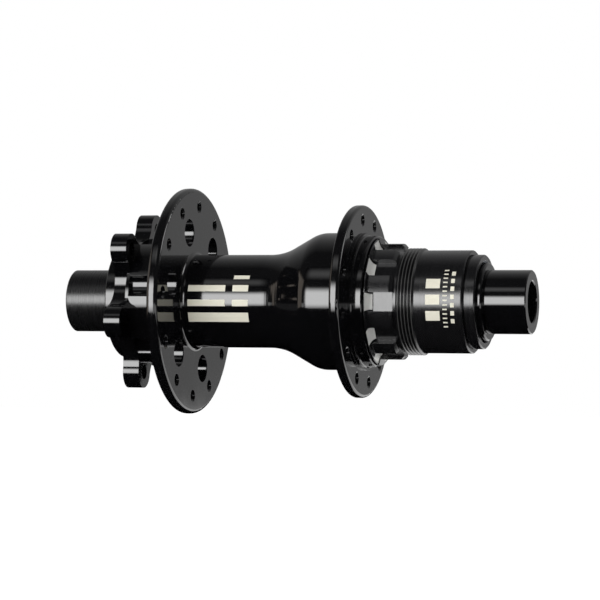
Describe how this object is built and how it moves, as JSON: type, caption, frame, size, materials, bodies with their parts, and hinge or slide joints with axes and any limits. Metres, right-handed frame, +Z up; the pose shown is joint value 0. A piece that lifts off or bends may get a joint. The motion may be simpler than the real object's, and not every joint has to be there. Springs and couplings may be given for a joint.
{
  "type": "bicycle rear hub",
  "caption": "Rear bicycle hub with a disc-brake mount, two spoke flanges, a splined ratchet driver, cartridge bearings and end caps for a through axle.",
  "frame": {"origin": "on the axle's centre line, midway between the two end faces", "axes": "+X along the axle toward the driver, +Z up"},
  "size_m": [0.142, 0.0676, 0.0676],
  "materials": {
    "gloss_anodised_aluminium": "gloss black anodised",
    "satin_anodised_aluminium": "satin black anodised",
    "bare_aluminium": "turned",
    "bearing_steel": "ground",
    "ball_steel": "polished",
    "cage_polymer": "moulded",
    "seal_rubber": "matt",
    "ratchet_steel": "hardened",
    "spring_steel": "blued"
  },
  "bodies": {
    "axle": {"axle": "bare_aluminium", "left_end_cap": "satin_anodised_aluminium", "right_end_cap": "gloss_anodised_aluminium", "left_cap_o_ring": "seal_rubber", "right_cap_o_ring": "seal_rubber", "left_bearing_inner_race": "bearing_steel", "hub_bearing_inner_race": "bearing_steel", "driver_inboard_inner_race": "bearing_steel", "driver_outboard_inner_race": "bearing_steel", "clutch_spacer": "bare_aluminium", "driver_spacer": "bare_aluminium"},
    "shell": {"hub_shell": "gloss_anodised_aluminium", "left_bearing_outer_race": "bearing_steel", "left_bearing_shields": "seal_rubber", "hub_bearing_outer_race": "bearing_steel", "hub_bearing_shields": "seal_rubber", "ratchet_ring": "ratchet_steel", "left_dust_seal": "seal_rubber", "driver_seal": "seal_rubber"},
    "driver": {"freehub_body": "satin_anodised_aluminium", "driver_inboard_outer_race": "bearing_steel", "driver_inboard_shields": "seal_rubber", "driver_outboard_outer_race": "bearing_steel", "driver_outboard_shields": "seal_rubber", "bearing_circlip": "spring_steel", "pawl_spring_1": "spring_steel", "pawl_spring_2": "spring_steel", "pawl_spring_3": "spring_steel", "pawl_spring_4": "spring_steel"},
    "pawl_1_body": {"pawl_1": "ratchet_steel"},
    "pawl_2_body": {"pawl_2": "ratchet_steel"},
    "pawl_3_body": {"pawl_3": "ratchet_steel"},
    "pawl_4_body": {"pawl_4": "ratchet_steel"},
    "left_bearing_ball_set": {"left_bearing_balls": "ball_steel", "left_bearing_cage": "cage_polymer"},
    "hub_bearing_ball_set": {"hub_bearing_balls": "ball_steel", "hub_bearing_cage": "cage_polymer"},
    "driver_inboard_ball_set": {"driver_inboard_balls": "ball_steel", "driver_inboard_cage": "cage_polymer"},
    "driver_outboard_ball_set": {"driver_outboard_balls": "ball_steel", "driver_outboard_cage": "cage_polymer"}
  },
  "joints": [
    {"name": "shell_spin", "type": "hinge", "parent": "axle", "child": "shell", "pos_m": [0, 0, 0], "axis": [1, 0, 0], "continuous": true},
    {"name": "driver_spin", "type": "hinge", "parent": "axle", "child": "driver", "pos_m": [0, 0, 0], "axis": [1, 0, 0], "continuous": true},
    {"name": "pawl_1_tilt", "type": "hinge", "parent": "driver", "child": "pawl_1_body", "pos_m": [0.0175, 0, 0.0121], "axis": [-1, 0, 0], "range_deg": [0, 15], "stiffness_Nm_per_rad": 0.02, "springref_deg": -17.19},
    {"name": "pawl_2_tilt", "type": "hinge", "parent": "driver", "child": "pawl_2_body", "pos_m": [0.0175, 0.0121, 0], "axis": [-1, 0, 0], "range_deg": [0, 15], "stiffness_Nm_per_rad": 0.02, "springref_deg": -17.19},
    {"name": "pawl_3_tilt", "type": "hinge", "parent": "driver", "child": "pawl_3_body", "pos_m": [0.0175, 0, -0.0121], "axis": [-1, 0, 0], "range_deg": [0, 15], "stiffness_Nm_per_rad": 0.02, "springref_deg": -17.19},
    {"name": "pawl_4_tilt", "type": "hinge", "parent": "driver", "child": "pawl_4_body", "pos_m": [0.0175, -0.0121, 0], "axis": [-1, 0, 0], "range_deg": [0, 15], "stiffness_Nm_per_rad": 0.02, "springref_deg": -17.19},
    {"name": "left_bearing_cage_spin", "type": "hinge", "parent": "axle", "child": "left_bearing_ball_set", "pos_m": [0, 0, 0], "axis": [1, 0, 0], "continuous": true},
    {"name": "hub_bearing_cage_spin", "type": "hinge", "parent": "axle", "child": "hub_bearing_ball_set", "pos_m": [0, 0, 0], "axis": [1, 0, 0], "continuous": true},
    {"name": "driver_inboard_cage_spin", "type": "hinge", "parent": "axle", "child": "driver_inboard_ball_set", "pos_m": [0, 0, 0], "axis": [1, 0, 0], "continuous": true},
    {"name": "driver_outboard_cage_spin", "type": "hinge", "parent": "axle", "child": "driver_outboard_ball_set", "pos_m": [0, 0, 0], "axis": [1, 0, 0], "continuous": true}
  ]
}
